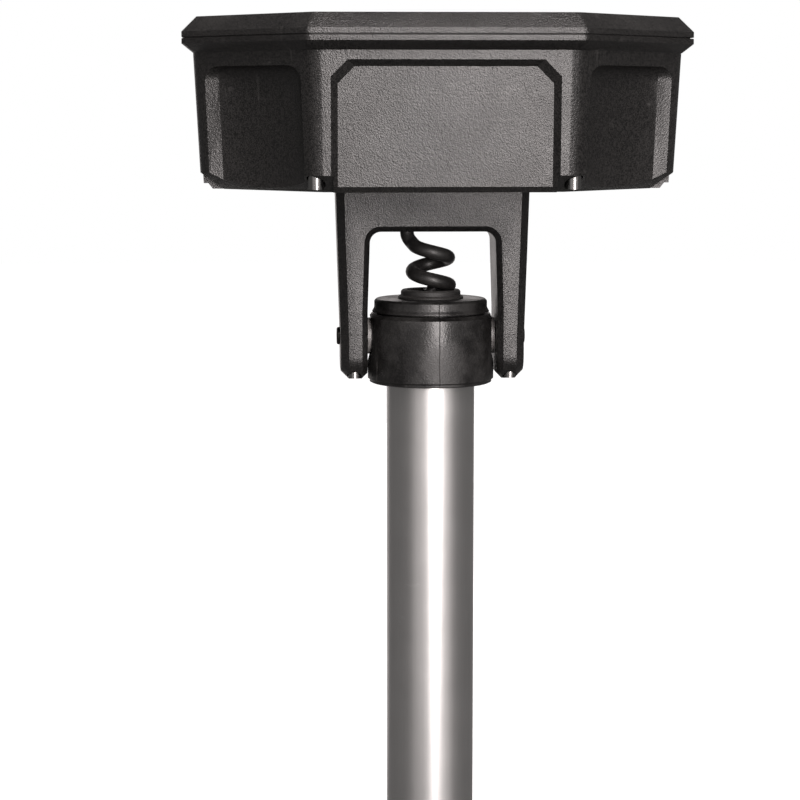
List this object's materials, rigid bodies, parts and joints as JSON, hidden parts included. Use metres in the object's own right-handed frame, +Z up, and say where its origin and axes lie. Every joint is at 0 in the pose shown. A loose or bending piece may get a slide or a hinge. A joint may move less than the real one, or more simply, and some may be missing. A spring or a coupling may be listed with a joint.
{
  "type": "gnss receiver",
  "caption": "Octagonal satellite positioning antenna head on a hinged yoke and collar at the top of a surveying pole section, joined to it by a short coiled lead.",
  "frame": {"origin": "centre of the lower end of the pole section", "axes": "+Z up along the pole, +X along the hinge axis to the right, front faces -Y"},
  "size_m": [0.174, 0.174, 0.3562],
  "materials": {
    "pole_aluminium": "satin anodised",
    "collar_plastic": "smooth moulded black",
    "head_plastic": "fine spark texture black",
    "lid_plastic": "fine spark texture black",
    "black_rubber": "matt",
    "lead_jacket": "satin jacket",
    "black_screw": "black oxide",
    "bright_steel": "bright",
    "brass": "turned",
    "bush_plastic": "natural acetal",
    "sheet_aluminium": "satin",
    "board_green": "solder mask",
    "tinned_can": "tinned",
    "part_black": "moulded",
    "patch_ceramic": "matt",
    "white_plastic": "moulded"
  },
  "bodies": {
    "pole": {"pole_tube": "pole_aluminium", "pole_end_insert": "sheet_aluminium", "end_insert_screws": "bright_steel", "pole_collar": "collar_plastic", "collar_screws": "black_screw", "collar_cap": "collar_plastic", "cable_grommet": "black_rubber", "pivot_inserts": "brass", "pivot_screws": "black_screw", "friction_washers": "bush_plastic", "pole_cable": "lead_jacket", "port_saddle": "collar_plastic", "data_port": "bright_steel", "data_port_pins": "brass", "port_screws": "black_screw", "coiled_cable": "lead_jacket"},
    "head": {"pivot_bushes": "bush_plastic", "yoke": "head_plastic", "leg_screws": "bright_steel", "yoke_screws": "bright_steel", "housing": "head_plastic", "lid_gasket": "black_rubber", "top_cover": "lid_plastic", "lid_inserts": "brass", "case_screws": "bright_steel", "vent_plug": "part_black", "cable_tail": "lead_jacket", "cable_gland": "part_black", "gland_nut": "part_black", "inner_lead": "lead_jacket", "lead_plug": "white_plastic", "chassis_plate": "sheet_aluminium", "chassis_screws": "bright_steel", "board_spacers": "brass", "main_board": "board_green", "board_screws": "bright_steel", "receiver_module": "tinned_can", "power_module": "part_black", "board_socket": "white_plastic", "antenna_posts": "sheet_aluminium", "antenna_screws": "bright_steel", "ground_plane": "sheet_aluminium", "lower_patch": "patch_ceramic", "upper_patch": "patch_ceramic", "feed_pins": "brass", "amplifier_board": "board_green", "amplifier_shield": "tinned_can", "coax_jumper": "brass"}
  },
  "joints": [
    {"name": "head_tilt", "type": "hinge", "parent": "pole", "child": "head", "pos_m": [0, 0, 0.242], "axis": [1, 0, 0], "range_deg": [-90, 90], "deforming": ["coiled_cable", "cable_tail"]}
  ]
}
